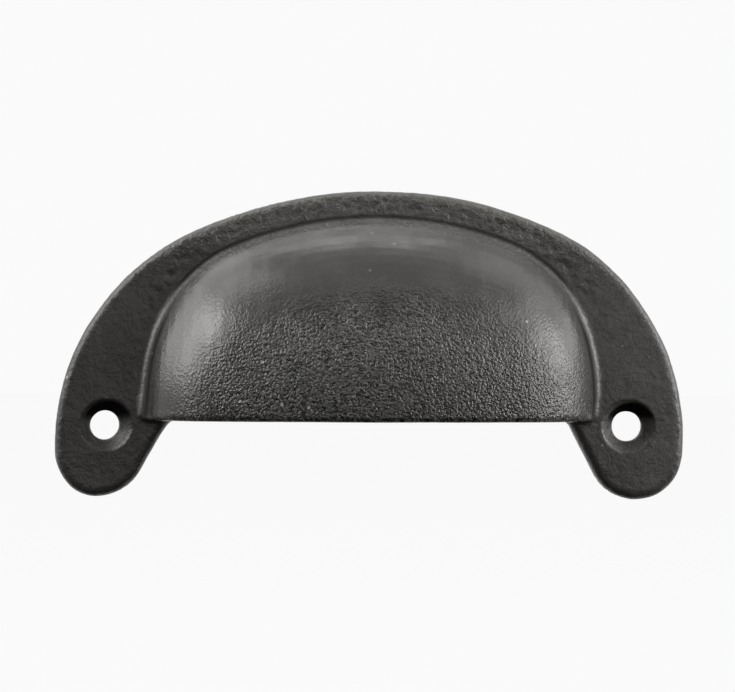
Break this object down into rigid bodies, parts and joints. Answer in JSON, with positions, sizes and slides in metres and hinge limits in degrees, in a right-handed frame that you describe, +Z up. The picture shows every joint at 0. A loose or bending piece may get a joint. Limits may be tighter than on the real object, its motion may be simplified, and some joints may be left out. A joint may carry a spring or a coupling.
{
  "type": "drawer cup pull",
  "caption": "Half-moon cup pull for a drawer: a flat flange with rounded screw ears round a hollow quarter dome that is open below for the fingers.",
  "frame": {"origin": "midway between the centres of the screw holes, on the flat back of the flange", "axes": "+Z up and +X to the right, both as seen from the front; -Y points out of the drawer front, the way the cup stands out"},
  "size_m": [0.1, 0.019, 0.0489],
  "materials": {
    "black_iron": "satin black paint over cast texture"
  },
  "bodies": {
    "root": {"cup_pull": "black_iron"}
  },
  "joints": []
}
